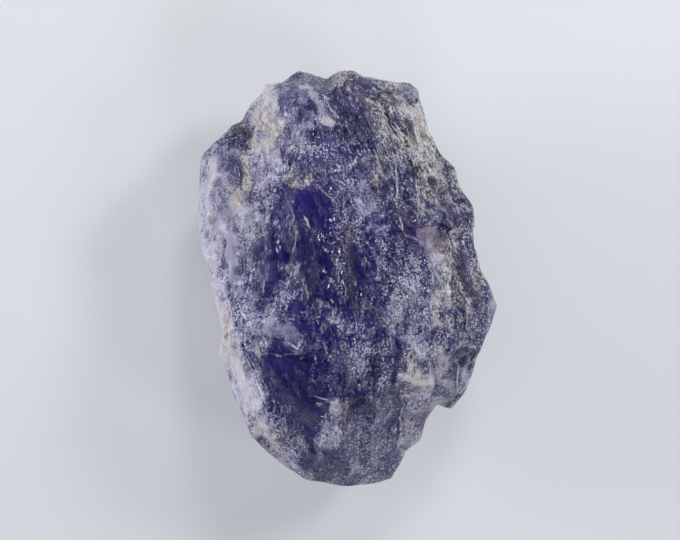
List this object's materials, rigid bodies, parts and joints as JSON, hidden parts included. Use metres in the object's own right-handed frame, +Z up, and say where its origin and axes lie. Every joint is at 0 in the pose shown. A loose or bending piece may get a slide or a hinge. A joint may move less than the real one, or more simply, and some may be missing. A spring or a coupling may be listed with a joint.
{
  "type": "rough iolite crystal",
  "caption": "Rough violet-blue iolite crystal with clear windows, frosted and fibrous fracture faces and brown-stained grooves, lying on a small flat spot.",
  "frame": {"origin": "bottom centre of the bounding box, on the surface that the stone rests on", "axes": "+Y along the crystal's length towards its broader end, +X across it, +Z up out of its best face, shortest"},
  "size_m": [0.0194, 0.027, 0.012],
  "materials": {
    "iolite": "glassy violet windows in a frosted, fibrous lavender-grey skin"
  },
  "bodies": {
    "root": {"iolite_crystal": "iolite"}
  },
  "joints": []
}
